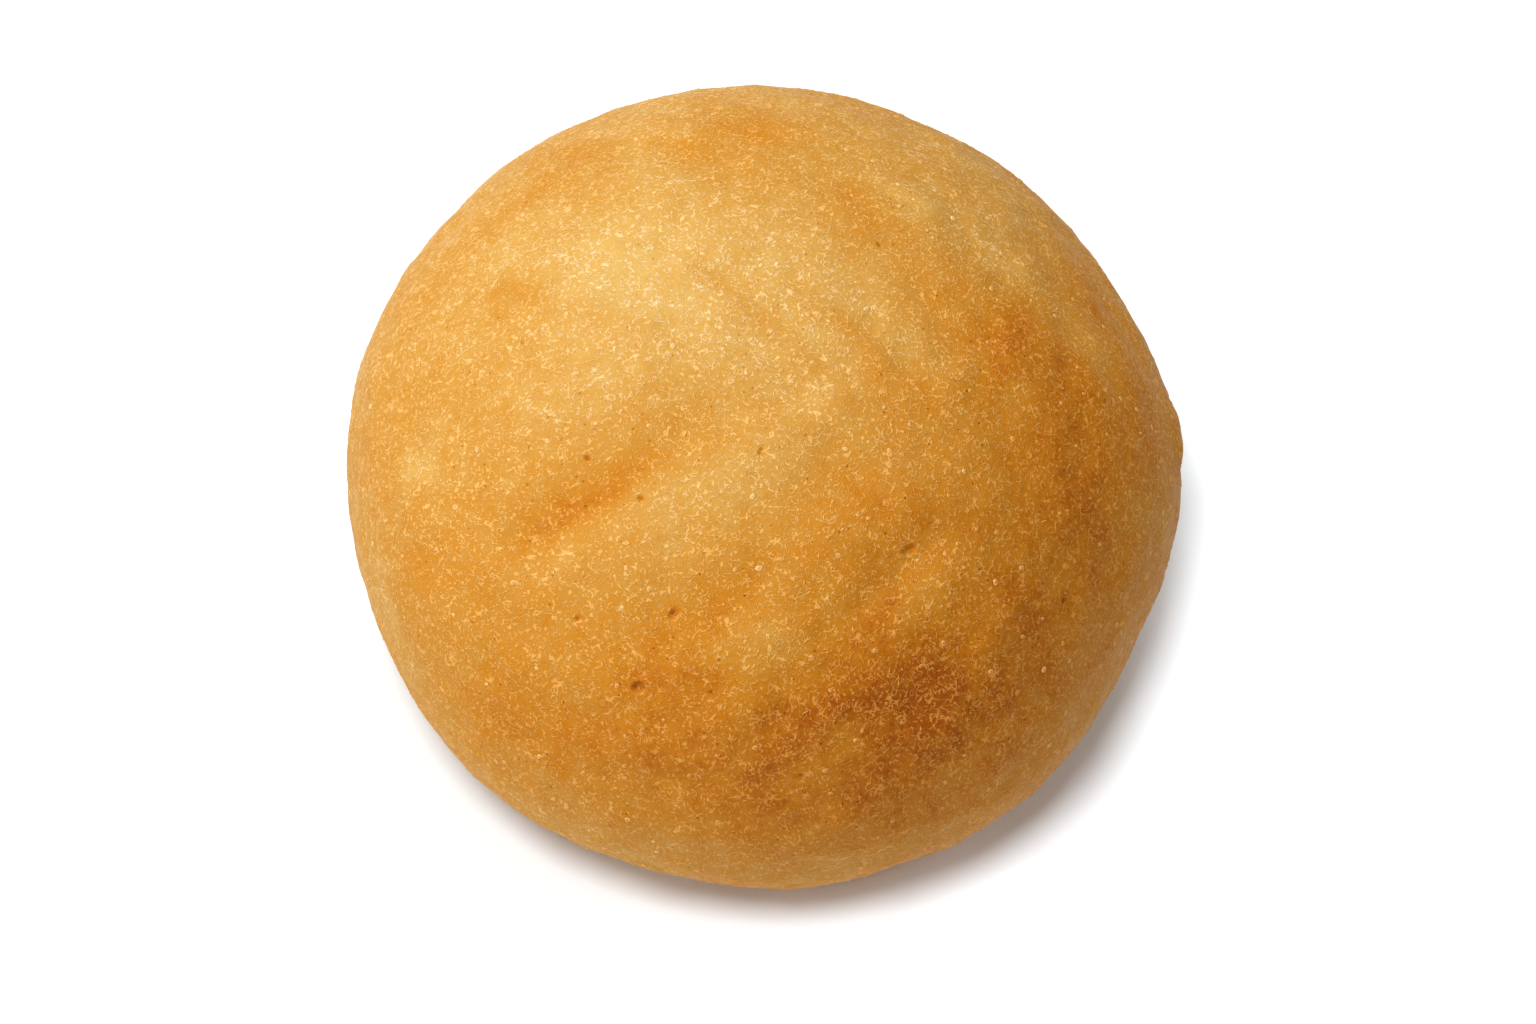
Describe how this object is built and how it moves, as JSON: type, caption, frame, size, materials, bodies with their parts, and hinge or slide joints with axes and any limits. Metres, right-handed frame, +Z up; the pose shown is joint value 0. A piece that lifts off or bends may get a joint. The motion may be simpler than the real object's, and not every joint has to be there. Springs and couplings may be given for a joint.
{
  "type": "white cob loaf",
  "caption": "Round, hand-shaped white loaf with a smooth golden crust, domed on top and flat underneath, to be shown, carried, stacked or served as food.",
  "frame": {"origin": "on the flat base, under the middle of the loaf's bounding box", "axes": "+Z up, towards the crown; the loaf is nearly round, and -Y is its front, the side nearest the viewer"},
  "size_m": [0.1662, 0.173, 0.0919],
  "materials": {
    "loaf": null
  },
  "bodies": {
    "root": {"loaf": "loaf"}
  },
  "joints": []
}
